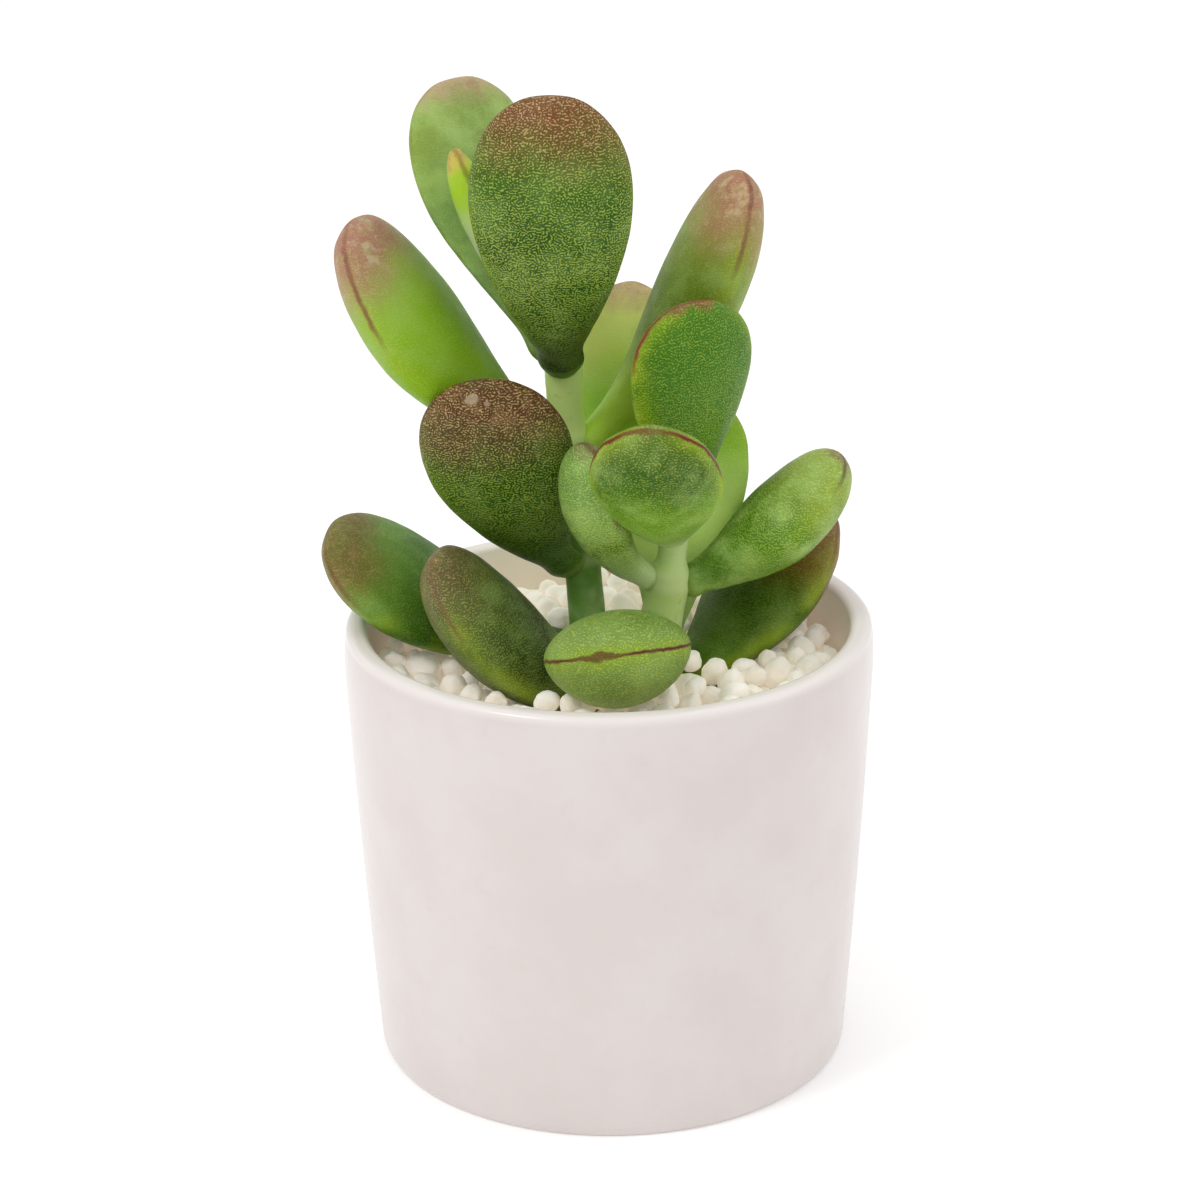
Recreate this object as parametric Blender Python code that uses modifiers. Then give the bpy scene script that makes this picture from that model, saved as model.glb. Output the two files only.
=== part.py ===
"""Potted cotyledon: a succulent with two leafy stems, in a round glazed pot.

Metres, +Z up, origin at the middle of the pot's underside. The pot and the soil are turned, the white
gravel is a bumpy disc cut around whatever grows through it, the stems are tapered tubes, and each leaf is
a loft that runs out from its stem along a curved spine. The sizes below are in millimetres.
"""
import math
from collections import namedtuple

import bmesh
import bpy
from mathutils import Vector, noise

MM = 0.001
OBJECT_NAME = "potted_cotyledon"

# ---- pot ----
POT_TOP_RADIUS = 45.0       # of the tapered wall, carried straight up to the rim
POT_BASE_RADIUS = 40.3
POT_HEIGHT = 77.0
POT_WALL = 4.3
POT_FLOOR = 5.0
POT_BELLY = 0.3             # how far the wall swells at half height
SHOULDER_DROP = 8.5         # the wall leans in over this height below the rim
SHOULDER_IN = 1.3
LIP_HEIGHT = 1.3
LIP_SQUARENESS = 2.4        # 2 is a half ellipse, more flattens the top of the lip
FOOT_ROUND_OUT = 1.2
FOOT_ROUND_UP = 2.7
INNER_FILLET = 5.0
POT_STEPS = 56
SHOULDER_STEPS = 5
WALL_STEPS = 5
LIP_STEPS = 8
ARC_STEPS = 4

# ---- soil and gravel ----
RIM_DEPTH = 8.0             # from the rim down to the gravel
GRAVEL_DEPTH = 9.5
GRAVEL_DOME = 1.2           # the gravel stands this much higher in the middle
GRANULE_PITCH = 4.6
GRANULE_RELIEF = 1.6
GRANULE_LEVEL = 0.5         # share of a granule's pitch at which its relief is level with the gravel
GRAVEL_GRID = 2.6
SOIL_STEPS = 40

# ---- stems ----
MAIN_STEM_RADIUS = 3.1
SHOOT_RADIUS = 3.4          # the front shoot below its first pair of leaves
SHOOT_TIP_RADIUS = 2.4      # and above it
ROOT_DEPTH = 12.0           # how far a stem reaches into the soil
ROOT_TAPER = 0.6
STEM_TIP_TAPER = 1.0
STEM_STEPS_PER_SPAN = 4
STEM_BEVEL_RESOLUTION = 4

# ---- leaves ----
FIT_GAP = 0.3               # between any two pieces that meet
LEAF_ROOT_INSET = 0.5       # a leaf starts this far inside its stem, and the stem is cut out of it
LEAF_BASE_WIDTH = 0.24      # of the full width, where the leaf leaves the stem
LEAF_BASE_THICKNESS = 0.42
LEAF_LENS = 0.28            # 0 is an elliptic section, more sharpens the two margins
LEAF_UPPER_SHARE = 0.43     # the part of the thickness above the spine; the underside is fuller
LEAF_TIP_BLUNTNESS = 2.2
LEAF_SWELL = 0.9            # under 1 fills out the leaf sooner on its way to its widest place
RINGS_BELOW_PEAK = 7
RINGS_ABOVE_PEAK = 6
LEAF_SIDES = 14
SPINE_STEPS = 120
BURIED_BELOW = 6.0          # leaves with nodes lower than this may touch the gravel

# The stems and leaves below are listed as they grow in a pot whose mouth has this inner radius. A plant in
# a wider or narrower pot is larger or smaller in the same share, about the middle of the mouth.
MOUTH_RADIUS = 40.7

# ---- surfaces ----
MERGE_DISTANCE = 0.00001    # metres
SHARP_ANGLE = 50

GRAVEL_TOP = POT_HEIGHT - RIM_DEPTH
SOIL_TOP = GRAVEL_TOP - GRAVEL_DEPTH
ROOT_END = -GRAVEL_DEPTH - ROOT_DEPTH

# A stem runs smoothly through points (x, y, height above the gravel, radius).
MAIN_STEM = (
    (-3.3, 10.0, ROOT_END, MAIN_STEM_RADIUS - ROOT_TAPER),
    (-3.5, 10.5, 0.0, MAIN_STEM_RADIUS),
    (-4.4, 13.0, 13.0, MAIN_STEM_RADIUS),
    (-6.5, 14.0, 35.0, MAIN_STEM_RADIUS),
    (-7.2, 13.5, 50.5, MAIN_STEM_RADIUS),
    (-7.5, 13.5, 57.5, MAIN_STEM_RADIUS - STEM_TIP_TAPER))
FRONT_STEM = (
    (7.0, -5.0, ROOT_END, SHOOT_RADIUS - ROOT_TAPER),
    (7.8, -5.0, 1.5, SHOOT_RADIUS),
    (9.9, -5.0, 16.0, SHOOT_RADIUS),
    (10.6, -5.0, 20.5, SHOOT_TIP_RADIUS),
    (11.0, -5.0, 25.5, SHOOT_TIP_RADIUS),
    (11.1, -5.0, 29.0, SHOOT_TIP_RADIUS - STEM_TIP_TAPER))
STEMS = {"main_stem": MAIN_STEM, "front_stem": FRONT_STEM}

# height is that of the leaf's node above the gravel. The angles are in degrees: heading (0 is +X, 90 is
# +Y), rise above level at the stem, bend (how much more it rises by its tip), roll about its own spine,
# and sweep (how far its heading turns by its tip). peak is where along its length the leaf is widest.
Leaf = namedtuple("Leaf", "name stem height heading rise bend roll sweep length width thickness peak")
LEAVES = (
    Leaf("leaf_top_front", "main_stem", 50.5, -94, 29, 62, 3, 1, 54.0, 26.5, 10.5, 0.69),
    Leaf("leaf_top_back", "main_stem", 50.0, 138, 53, 15, -2, -2, 49.0, 27.5, 8.5, 0.68),
    Leaf("leaf_bud_left", "main_stem", 53.5, 190, 58, 11, 2, 0, 36.0, 12.0, 6.5, 0.65),
    Leaf("leaf_bud_right", "main_stem", 54.5, 10, 78, 5, 0, 0, 30.0, 11.0, 6.0, 0.62),
    Leaf("leaf_upper_left", "main_stem", 34.5, 182, 29, 31, -19, 3, 52.0, 28.5, 13.5, 0.60),
    Leaf("leaf_upper_right", "main_stem", 34.0, 15, 36, 33, 2, 0, 54.0, 25.0, 13.0, 0.61),
    Leaf("leaf_middle_left", "main_stem", 13.5, 223, 29, 50, 34, 4, 43.5, 26.0, 8.0, 0.68),
    Leaf("leaf_middle_back", "main_stem", 13.0, 72, 51, 12, -8, -3, 49.5, 22.0, 9.5, 0.60),
    Leaf("leaf_rim_left", "main_stem", -1.5, 190, 16, 19, -18, -3, 48.0, 29.0, 10.5, 0.68),
    Leaf("leaf_shoot_back", "front_stem", 26.5, 30, 86, 1, -70, -11, 37.5, 26.5, 8.0, 0.68),
    Leaf("leaf_shoot_front", "front_stem", 26.0, -97, 19, 35, 5, -4, 40.0, 21.0, 11.0, 0.65),
    Leaf("leaf_shoot_left", "front_stem", 17.5, 200, 24, 61, 7, 0, 28.5, 15.5, 9.5, 0.63),
    Leaf("leaf_shoot_right", "front_stem", 16.0, 15, 16, 29, -2, 1, 34.0, 20.5, 12.5, 0.56),
    Leaf("leaf_low_front", "front_stem", 6.5, -110, 15, 1, 12, 2, 28.5, 24.4, 16.0, 0.65),
    Leaf("leaf_low_back", "front_stem", 3.0, 74, 57, 3, 3, 0, 44.5, 22.0, 9.0, 0.68),
    Leaf("leaf_low_right", "front_stem", -4.5, 38, 20, 28, -2, 0, 43.5, 24.5, 12.0, 0.61),
    Leaf("leaf_low_left", "front_stem", -5.5, 191, 13, 40, -15, -4, 45.5, 26.5, 13.0, 0.63))

# name: base colour, roughness
FINISHES = {
    "glaze": ((0.78, 0.70, 0.68), 0.22),
    "potting_mix": ((0.055, 0.035, 0.022), 0.95),
    "white_granule": ((0.80, 0.76, 0.69), 0.80),
    "stem_green": ((0.26, 0.38, 0.14), 0.45),
    "leaf_green": ((0.11, 0.24, 0.04), 0.45),
    "young_leaf_green": ((0.28, 0.42, 0.05), 0.45)}


# ---- small helpers ----

def clear_scene():
    for old in list(bpy.data.objects):
        bpy.data.objects.remove(old, do_unlink=True)


def new_collection(name, hidden):
    collection = bpy.data.collections.new(name)
    bpy.context.scene.collection.children.link(collection)
    collection.hide_render = hidden
    return collection


def new_material(name, finish):
    colour, roughness = FINISHES[finish]
    material = bpy.data.materials.new(name)
    material.use_nodes = True
    shader = material.node_tree.nodes["Principled BSDF"]
    shader.inputs["Base Color"].default_value = (*colour, 1.0)
    shader.inputs["Roughness"].default_value = roughness
    shader.inputs["Metallic"].default_value = 0.0
    material.diffuse_color = (*colour, 1.0)
    return material


def add_part(name, mesh, finish, parts, parent, offset=(0.0, 0.0, 0.0)):
    mesh.shade_smooth()
    mesh.set_sharp_from_angle(angle=math.radians(SHARP_ANGLE))
    part = bpy.data.objects.new(name, mesh)
    part.data.materials.append(new_material(name, finish))
    part.location = Vector(offset) * MM
    part.parent = parent
    parts.objects.link(part)
    return part


def add_cutter(name, mesh, cutters, parent, offset=(0.0, 0.0, 0.0)):
    cutter = bpy.data.objects.new(name, mesh)
    cutter.location = Vector(offset) * MM
    cutter.parent = parent
    cutter.hide_render = True
    cutter.display_type = 'WIRE'
    cutters.objects.link(cutter)
    return cutter


def add_boolean(part, operation, cutter, solver='EXACT'):
    modifier = part.modifiers.new(cutter.name, 'BOOLEAN')
    modifier.operation = operation
    modifier.object = cutter
    modifier.solver = solver


# ---- turned pieces ----

def wall_radius(height):
    """The tapered outer wall, before the shoulder and the foot are rounded."""
    share = height / POT_HEIGHT
    taper = POT_BASE_RADIUS + (POT_TOP_RADIUS - POT_BASE_RADIUS) * share
    return taper + POT_BELLY * math.sin(math.pi * share)


def inner_radius(height):
    share = height / POT_HEIGHT
    return POT_BASE_RADIUS + (POT_TOP_RADIUS - POT_BASE_RADIUS) * share - POT_WALL


def arc(centre, radii, start, end, steps):
    """Points of an elliptic arc, angles in degrees from +X towards +Z."""
    points = []
    for step in range(steps + 1):
        angle = math.radians(start + (end - start) * step / steps)
        points.append((centre[0] + radii[0] * math.cos(angle), centre[1] + radii[1] * math.sin(angle)))
    return points


def outer_wall():
    """From under the lip down to the foot."""
    top = POT_HEIGHT - LIP_HEIGHT
    shoulder_start = POT_HEIGHT - SHOULDER_DROP
    points = []
    for step in range(SHOULDER_STEPS + 1):
        height = top + (shoulder_start - top) * step / SHOULDER_STEPS
        lean = (height - shoulder_start) / SHOULDER_DROP
        points.append((wall_radius(height) - SHOULDER_IN * (1 - math.sqrt(1 - lean * lean)), height))
    for step in range(1, WALL_STEPS):
        height = shoulder_start + (FOOT_ROUND_UP - shoulder_start) * step / WALL_STEPS
        points.append((wall_radius(height), height))
    foot = wall_radius(FOOT_ROUND_UP)
    points += arc((foot - FOOT_ROUND_OUT, FOOT_ROUND_UP), (FOOT_ROUND_OUT, FOOT_ROUND_UP), 0, -90, ARC_STEPS)
    return points


def lip(inside, outside):
    """Over the rim, from the inner wall to the outer one, both given at the foot of the lip."""
    middle, half = (inside + outside) / 2, (outside - inside) / 2
    power = 2 / LIP_SQUARENESS
    points = []
    for step in range(1, LIP_STEPS):
        angle = math.pi * (1 - step / LIP_STEPS)
        across = math.copysign(abs(math.cos(angle)) ** power, math.cos(angle))
        height = POT_HEIGHT - LIP_HEIGHT + LIP_HEIGHT * math.sin(angle) ** power
        points.append((middle + half * across, height))
    return points


def inner_floor_and_wall(gap, floor, top):
    """The hollow's outline from its middle to the height top, drawn in by gap."""
    fillet = INNER_FILLET
    corner = inner_radius(floor + fillet) - gap
    points = [(0.0, floor)]
    points += arc((corner - fillet, floor + fillet), (fillet, fillet), -90, 0, ARC_STEPS)
    points.append((inner_radius(top) - gap, top))
    return points


def pot_profile():
    hollow = inner_floor_and_wall(0.0, POT_FLOOR, POT_HEIGHT - LIP_HEIGHT)
    outside = outer_wall()
    return hollow + lip(hollow[-1][0], outside[0][0]) + outside + [(0.0, 0.0)]


def turned_mesh(name, profile, steps):
    """Turn a profile of (radius, height) about Z; it runs down its outer side."""
    wire = bpy.data.meshes.new(name + "_profile")
    points = [(radius * MM, 0.0, height * MM) for radius, height in profile]
    wire.from_pydata(points, [(i, i + 1) for i in range(len(points) - 1)], [])
    turning = bpy.data.objects.new(name + "_profile", wire)
    bpy.context.scene.collection.objects.link(turning)
    screw = turning.modifiers.new("turn", 'SCREW')
    screw.axis = 'Z'
    screw.steps = screw.render_steps = steps
    screw.use_merge_vertices = True
    screw.merge_threshold = MERGE_DISTANCE
    mesh = evaluated_mesh(turning, name)
    bpy.data.objects.remove(turning, do_unlink=True)
    return mesh


def evaluated_mesh(source, name):
    """The object's final mesh as a new mesh, closed up and facing out."""
    depsgraph = bpy.context.evaluated_depsgraph_get()
    depsgraph.update()
    mesh = bpy.data.meshes.new_from_object(source.evaluated_get(depsgraph))
    mesh.name = name
    cage = bmesh.new()
    cage.from_mesh(mesh)
    bmesh.ops.remove_doubles(cage, verts=cage.verts, dist=MERGE_DISTANCE)
    bmesh.ops.recalc_face_normals(cage, faces=cage.faces)
    cage.to_mesh(mesh)
    cage.free()
    return mesh


# ---- stems ----

def growth():
    return inner_radius(POT_HEIGHT) / MOUTH_RADIUS


def grown(height):
    """A listed height above the gravel, for a plant of this growth."""
    return RIM_DEPTH + (height - RIM_DEPTH) * growth()


def smooth_run(points):
    """Catmull-Rom through the points of a stem, in all four of their values."""
    points = [(x * growth(), y * growth(), grown(height), radius) for x, y, height, radius in points]
    run = []
    last = len(points) - 1
    for span in range(last):
        before, start = Vector(points[max(span - 1, 0)]), Vector(points[span])
        end, after = Vector(points[span + 1]), Vector(points[min(span + 2, last)])
        for step in range(STEM_STEPS_PER_SPAN):
            t = step / STEM_STEPS_PER_SPAN
            square = 2 * before - 5 * start + 4 * end - after
            cube = 3 * start - before - 3 * end + after
            run.append(0.5 * (2 * start + (end - before) * t + square * t ** 2 + cube * t ** 3))
    run.append(Vector(points[last]))
    return run


def stem_at(stem, height):
    """The stem's middle and radius at a height above the gravel."""
    run = smooth_run(STEMS[stem])
    for low, high in zip(run, run[1:]):
        if low.z <= height <= high.z:
            return low.lerp(high, (height - low.z) / (high.z - low.z))
    return run[-1]


def stem_mesh(name, points, gap):
    curve = bpy.data.curves.new(name, 'CURVE')
    curve.dimensions = '3D'
    curve.bevel_depth = MM
    curve.bevel_resolution = STEM_BEVEL_RESOLUTION
    curve.use_fill_caps = True
    run = smooth_run(points)
    spline = curve.splines.new('POLY')
    spline.points.add(len(run) - 1)
    for point, (x, y, height, radius) in zip(spline.points, run):
        point.co = (x * MM, y * MM, (GRAVEL_TOP + height) * MM, 1.0)
        point.radius = radius + gap
    rod = bpy.data.objects.new(name, curve)
    bpy.context.scene.collection.objects.link(rod)
    mesh = evaluated_mesh(rod, name)
    bpy.data.objects.remove(rod, do_unlink=True)
    return mesh


# ---- leaves ----

def fullness(station, base, peak):
    """Share of the leaf's full size at a station from 0, the stem, to 1, the tip."""
    if station < peak:
        t = station / peak
        return base + (1 - base) * (t * t * (3 - 2 * t)) ** LEAF_SWELL
    t = (station - peak) / (1 - peak)
    return max(1 - t ** LEAF_TIP_BLUNTNESS, 0.0) ** (1 / LEAF_TIP_BLUNTNESS)


def ring_stations(peak):
    below = [peak * step / RINGS_BELOW_PEAK for step in range(RINGS_BELOW_PEAK)]
    above = [peak + (1 - peak) * math.sin(math.pi / 2 * step / RINGS_ABOVE_PEAK)
             for step in range(RINGS_ABOVE_PEAK)]
    return below + above


def spine_direction(leaf, station):
    rise = math.radians(leaf.rise + leaf.bend * station * (2 - station))
    heading = math.radians(leaf.heading + leaf.sweep * station)
    along = Vector((math.cos(rise) * math.cos(heading), math.cos(rise) * math.sin(heading), math.sin(rise)))
    level = Vector((-math.sin(heading), math.cos(heading), 0.0))
    upright = along.cross(level)
    roll = math.radians(leaf.roll)
    side = level * math.cos(roll) + upright * math.sin(roll)
    upper = upright * math.cos(roll) - level * math.sin(roll)
    return along, side, upper


def spine_points(leaf):
    """Evenly spaced points from the leaf's node, which is the local origin, to its tip."""
    length = leaf.length * growth()
    points = [Vector((0.0, 0.0, 0.0))]
    for step in range(SPINE_STEPS):
        along = spine_direction(leaf, (step + 0.5) / SPINE_STEPS)[0]
        points.append(points[-1] + along * length / SPINE_STEPS)
    return points


def leaf_section(leaf, station, gap):
    """Offsets of one ring from the spine: wide across, fuller underneath, narrow at both margins."""
    _, side, upper = spine_direction(leaf, station)
    half_width = growth() * leaf.width / 2 * fullness(station, LEAF_BASE_WIDTH, leaf.peak) + gap
    thickness = growth() * leaf.thickness * fullness(station, LEAF_BASE_THICKNESS, leaf.peak) + 2 * gap
    ring = []
    for corner in range(LEAF_SIDES):
        angle = 2 * math.pi * corner / LEAF_SIDES
        lift = math.cos(angle) * (1 - LEAF_LENS * (1 - abs(math.cos(angle))))
        share = LEAF_UPPER_SHARE if lift > 0 else 1 - LEAF_UPPER_SHARE
        ring.append(side * half_width * math.sin(angle) + upper * thickness * share * lift)
    return ring


def leaf_mesh(leaf, name, gap=0.0):
    """The leaf's loft about the local origin at its root, drawn out by gap all round."""
    spine = spine_points(leaf)
    cage = bmesh.new()
    rings = []
    for station in ring_stations(leaf.peak):
        middle = spine[round(station * SPINE_STEPS)]
        rings.append([cage.verts.new((middle + offset) * MM) for offset in leaf_section(leaf, station, gap)])
    tip_along = spine_direction(leaf, 1.0)[0]
    tip = cage.verts.new((spine[-1] + tip_along * gap) * MM)
    cage.faces.new(rings[0])
    for lower, higher in zip(rings, rings[1:]):
        for corner in range(LEAF_SIDES):
            following = (corner + 1) % LEAF_SIDES
            cage.faces.new((lower[corner], lower[following], higher[following], higher[corner]))
    for corner in range(LEAF_SIDES):
        cage.faces.new((rings[-1][corner], rings[-1][(corner + 1) % LEAF_SIDES], tip))
    bmesh.ops.recalc_face_normals(cage, faces=cage.faces)
    mesh = bpy.data.meshes.new(name)
    cage.to_mesh(mesh)
    cage.free()
    return mesh


def leaf_root(leaf):
    """Where the loft starts: just inside the stem, on the side that the leaf heads for."""
    x, y, height, radius = stem_at(leaf.stem, grown(leaf.height))
    reach = radius - LEAF_ROOT_INSET
    heading = math.radians(leaf.heading)
    return (x + reach * math.cos(heading), y + reach * math.sin(heading), GRAVEL_TOP + height)


# ---- gravel ----

def gravel_height(x, y):
    """Top of the granules: a low dome with a bump for each granule."""
    spread = min(math.hypot(x, y) / inner_radius(GRAVEL_TOP), 1.0)
    distances, _ = noise.voronoi(Vector((x / GRANULE_PITCH, y / GRANULE_PITCH, 0.0)))
    return GRAVEL_TOP + GRAVEL_DOME * (1 - spread ** 2) + GRANULE_RELIEF * (GRANULE_LEVEL - distances[0])


def gravel_block():
    """A square block with a bumpy top, larger than the pot's mouth."""
    reach = inner_radius(POT_HEIGHT) + GRAVEL_GRID
    cells = round(2 * reach / GRAVEL_GRID)
    cage = bmesh.new()
    bmesh.ops.create_grid(cage, x_segments=cells, y_segments=cells, size=reach * MM)
    for vert in cage.verts:
        vert.co.z = gravel_height(vert.co.x / MM, vert.co.y / MM) * MM
    rim = [edge for edge in cage.edges if edge.is_boundary]
    skirt = bmesh.ops.extrude_edge_only(cage, edges=rim)["geom"]
    for vert in [piece for piece in skirt if isinstance(piece, bmesh.types.BMVert)]:
        vert.co.z = (SOIL_TOP - GRAVEL_DEPTH) * MM
    bmesh.ops.contextual_create(cage, geom=[edge for edge in cage.edges if edge.is_boundary])
    bmesh.ops.recalc_face_normals(cage, faces=cage.faces)
    mesh = bpy.data.meshes.new("white_gravel")
    cage.to_mesh(mesh)
    cage.free()
    return mesh


def gravel_bounds():
    """A turned plug of the hollow between the soil and the rim."""
    low, high = SOIL_TOP + FIT_GAP, POT_HEIGHT - LIP_HEIGHT
    wall = [(inner_radius(height) - FIT_GAP, height) for height in (high, low)]
    return turned_mesh("gravel_bounds", [(0.0, high)] + wall + [(0.0, low)], POT_STEPS)


def soil_profile():
    outline = inner_floor_and_wall(FIT_GAP, POT_FLOOR + FIT_GAP, SOIL_TOP)
    return [(0.0, SOIL_TOP)] + outline[::-1]


# ---- the whole object ----

def build():
    clear_scene()
    parts = new_collection(OBJECT_NAME, hidden=False)
    cutters = new_collection(OBJECT_NAME + "_cutters", hidden=True)
    root = bpy.data.objects.new(OBJECT_NAME, None)
    parts.objects.link(root)

    add_part("pot", turned_mesh("pot", pot_profile(), POT_STEPS), "glaze", parts, root)
    soil = add_part("soil", turned_mesh("soil", soil_profile(), SOIL_STEPS), "potting_mix", parts, root)
    gravel = add_part("white_gravel", gravel_block(), "white_granule", parts, root)
    add_boolean(gravel, 'INTERSECT', add_cutter("gravel_bounds", gravel_bounds(), cutters, root), 'MANIFOLD')

    sockets = {}
    for name, points in STEMS.items():
        add_part(name, stem_mesh(name, points, 0.0), "stem_green", parts, root)
        wider = stem_mesh(name + "_socket", points, FIT_GAP)
        sockets[name] = add_cutter(wider.name, wider, cutters, root)
        add_boolean(soil, 'DIFFERENCE', sockets[name])
        add_boolean(gravel, 'DIFFERENCE', sockets[name], 'MANIFOLD')

    for leaf in LEAVES:
        finish = "young_leaf_green" if "bud" in leaf.name else "leaf_green"
        blade = add_part(leaf.name, leaf_mesh(leaf, leaf.name), finish, parts, root, leaf_root(leaf))
        add_boolean(blade, 'DIFFERENCE', sockets[leaf.stem])
        if leaf.height < BURIED_BELOW:
            hollow = leaf_mesh(leaf, leaf.name + "_hollow", FIT_GAP)
            cutter = add_cutter(hollow.name, hollow, cutters, root, leaf_root(leaf))
            add_boolean(gravel, 'DIFFERENCE', cutter, 'MANIFOLD')


build()
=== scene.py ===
"""Looks of the potted cotyledon.

The leaves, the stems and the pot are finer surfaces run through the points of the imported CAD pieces. The
granules are settled one by one around whatever grows through them. Lengths are in metres unless a name ends
in _MM, and colours are written as screen values from 0 to 255.
"""

import math

import bmesh
import bpy
import numpy as np
from mathutils import Euler, Matrix, Vector, noise
from mathutils.bvhtree import BVHTree


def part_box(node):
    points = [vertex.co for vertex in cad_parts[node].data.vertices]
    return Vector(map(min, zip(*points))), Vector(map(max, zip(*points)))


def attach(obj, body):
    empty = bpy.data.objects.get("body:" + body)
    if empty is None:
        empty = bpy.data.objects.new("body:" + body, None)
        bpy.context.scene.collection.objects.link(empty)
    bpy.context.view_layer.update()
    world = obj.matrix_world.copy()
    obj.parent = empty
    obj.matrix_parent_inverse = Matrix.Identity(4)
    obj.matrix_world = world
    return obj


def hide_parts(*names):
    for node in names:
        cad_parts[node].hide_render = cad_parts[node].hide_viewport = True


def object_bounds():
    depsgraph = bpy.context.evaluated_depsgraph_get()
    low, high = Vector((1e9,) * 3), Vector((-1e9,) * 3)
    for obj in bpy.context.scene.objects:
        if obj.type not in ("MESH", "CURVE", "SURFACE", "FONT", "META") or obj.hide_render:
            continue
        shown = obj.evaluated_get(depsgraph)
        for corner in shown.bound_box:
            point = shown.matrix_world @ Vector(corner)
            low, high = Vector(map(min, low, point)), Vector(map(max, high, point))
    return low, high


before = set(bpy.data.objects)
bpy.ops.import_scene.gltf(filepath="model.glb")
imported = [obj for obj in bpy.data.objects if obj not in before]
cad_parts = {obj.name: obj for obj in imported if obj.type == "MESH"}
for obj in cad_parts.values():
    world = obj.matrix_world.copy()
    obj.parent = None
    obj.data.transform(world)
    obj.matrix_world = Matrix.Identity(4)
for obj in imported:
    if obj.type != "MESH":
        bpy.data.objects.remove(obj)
cad_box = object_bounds()

MM = 0.001
LEAF_NODES = sorted(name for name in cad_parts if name.startswith("leaf_"))

# ---- camera, stage and light ----
CAMERA_PLACE = (0.0, -0.570, 0.2975)
CAMERA_TILT = 20.88             # degrees below level
CAMERA_TURN = 0.143             # degrees to the left of straight ahead
CAMERA_ROLL = -0.685
LENS_MM = 108.8
SENSOR_MM = 36.0
FLOOR_REACH = 6.0
FLOOR_CELLS = 8
FLOOR_GLOW = 0.2
SKY_STRENGTH = 0.82
LIT_POINT = (0.0, 0.0, 0.09)    # where the softboxes aim
SOFTBOXES = (                   # name, place, size and watts
    ("key", (-0.55, -0.45, 0.95), (0.3, 0.3), 3.0),
    ("side", (0.9, -0.2, 0.55), (0.5, 0.7), 0.8),
    ("top", (0.1, 0.25, 1.1), (0.7, 0.5), 1.4))

# ---- leaf and stem surfaces ----
LEAF_SIDES = 14                 # points in each ring of a CAD leaf
LEAF_STEPS_ALONG = 5            # finer rings for each CAD ring
LEAF_STEPS_ROUND = 4
STEM_SIDES = 12
STEM_STEPS_ALONG = 4
STEM_STEPS_ROUND = 3
ROOT_REACH = 0.85               # from a leaf's first whole ring to its foot, in ring spacings
ROOT_SHARE = 0.98               # the foot's width against that ring's
INNER_REACH = 0.45              # from the foot to the leaf's end inside the stem
INNER_SHARE = 0.75              # and the end's width against the foot's
JOINT_REACH = 0.6               # from the first whole ring to the middle of the joint
STEM_TIP = ((0.45, 0.87), (0.8, 0.5), (0.9, 0.0))     # rises and widths of a stem's rounded end
STEM_TIP_RISE_MM = 2.0
UNEVENNESS_MM = 0.16
UNEVEN_WAVES = ((0.11, 1.0), (0.3, 0.5))              # waves to a millimetre, and their shares
SKIN_PATCH_MM = 5.0             # blotches of tint
SKIN_GRIT_MM = 1.2              # fine mottling
WORM_PITCH_MM = 0.43            # between the winding lines of the skin
JOINT_SWELL_MM = 0.35           # of a stem, where leaves leave it
JOINT_SPREAD_MM = 1.6

# ---- pot ----
POT_STEPS_ALONG = 3
POT_TURN_STEPS = 224
UNDERSIDE_MM = 0.05             # lower than this the pot is bare, where it stood in the kiln
LIP_HIGHLIGHT_MM = (75.0, 77.0)           # heights between which the glaze is painted lighter, a painted highlight along the rim

# ---- granules ----
GRANULE_SEED = 11
GRANULE_KINDS = 14
GRANULE_RADII_MM = (1.8, 3.1)
GRANULE_LOBES = (3, 8)
GRANULE_WAVES = ((1.6, 0.10), (5.0, 0.035))           # waves to a radius, and their shares of it
GRANULE_TRIES = 46
GRANULE_MISSES = 60             # the heap is full after this many in a row find no place
GRANULE_BED_MM = 8.6            # depth of loose granules below the gravel's edge
GRAVEL_CROWN_MM = 1.9           # of the CAD gravel above its edge
HEAP_MM = (3.4, 1.4)            # how far granules may stand over that edge, and the middle over the wall
OVERLAP = 0.94                  # of the distance between two granules that touch
CLEARANCE = 0.96                # of a granule's radius that stays clear of stems and leaves
FINE_BELOW_TOP_MM = 5.0         # granules deeper than this are hidden and get a coarse mesh
GRANULES_PER_PIECE = 120


# ---- colours and node wiring ----

def screen(red, green, blue):
    """Linear RGBA from screen values of 0 to 255."""
    linear = []
    for value in (red, green, blue):
        value = value / 255
        linear.append(value / 12.92 if value <= 0.04045 else ((value + 0.055) / 1.055) ** 2.4)
    return (*linear, 1.0)


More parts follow.
